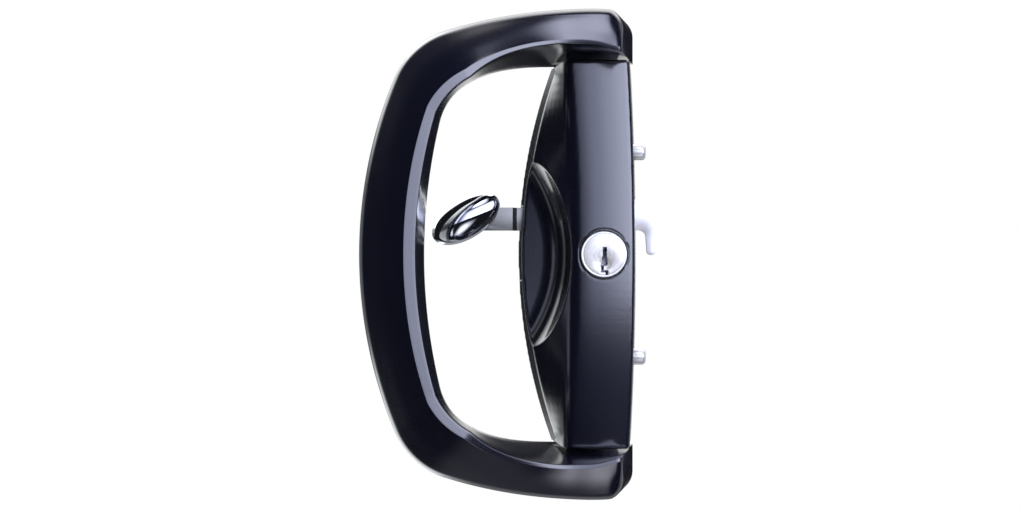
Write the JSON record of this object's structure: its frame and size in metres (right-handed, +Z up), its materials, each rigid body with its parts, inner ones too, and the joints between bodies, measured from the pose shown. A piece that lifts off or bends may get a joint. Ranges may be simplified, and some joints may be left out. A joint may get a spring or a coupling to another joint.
{
  "type": "sliding door lock",
  "caption": "Surface lock for a sliding door: D pull handle, long cover with finger scoop, key cylinder, oval sliding snib and a hook bolt in a lock case behind.",
  "frame": {"origin": "on the door's face, midway between the two fixing holes in the handle's feet", "axes": "+X from the grip towards the hook bolt, +Y into the door along the fixing screws, +Z up along the handle; the front is at -Y"},
  "size_m": [0.0938, 0.059, 0.1524],
  "materials": {
    "powder_coat": "gloss black powder coat",
    "zinc_plated": "zinc plated",
    "screw_steel": "plated",
    "cylinder_chrome": "satin chrome plate",
    "knob_chrome": "bright chrome plate",
    "brass": "turned",
    "spring_steel": "spring steel",
    "pale_steel": "satin nickel plate",
    "hook_steel": "satin nickel plate",
    "nylon": "natural nylon"
  },
  "bodies": {
    "lock": {"pull_handle": "powder_coat", "cover": "powder_coat", "base_plate": "zinc_plated", "plate_screws": "screw_steel", "cover_screws": "screw_steel", "cylinder_screws": "screw_steel", "case_screws": "screw_steel", "cylinder_housing": "cylinder_chrome", "chamber_cap": "brass", "driver_pins": "brass", "pin_springs": "spring_steel", "hook_pivot": "screw_steel", "lock_case": "zinc_plated", "case_lid": "zinc_plated", "case_spacers": "zinc_plated", "faceplate": "pale_steel", "faceplate_screws": "hook_steel", "rack_guides": "nylon", "brake_spring": "spring_steel"},
    "snib": {"snib_lever": "pale_steel", "snib_knob": "knob_chrome", "knob_rivet": "pale_steel", "drive_post": "zinc_plated", "rack_bar": "zinc_plated"},
    "hook": {"hook_bolt": "hook_steel"},
    "plug": {"key_plug": "cylinder_chrome", "key_pins": "brass", "tail_cam": "zinc_plated", "cam_screw": "screw_steel"}
  },
  "joints": [
    {"name": "snib_slide", "type": "slide", "parent": "lock", "child": "snib", "axis": [0, 0, -1], "range_m": [0, 0.0155]},
    {"name": "hook_swing", "type": "hinge", "parent": "lock", "child": "hook", "pos_m": [0.003, 0.0065, 0.0097], "axis": [0, 1, 0], "range_deg": [-88.9, 0]},
    {"name": "plug_turn", "type": "hinge", "parent": "lock", "child": "plug", "pos_m": [0.003, -0.012, 0], "axis": [0, 1, 0], "range_deg": [0, 90]}
  ],
  "couplings": [
    {"joint": "hook_swing", "follows": "snib_slide", "rad_per_m": -100}
  ]
}
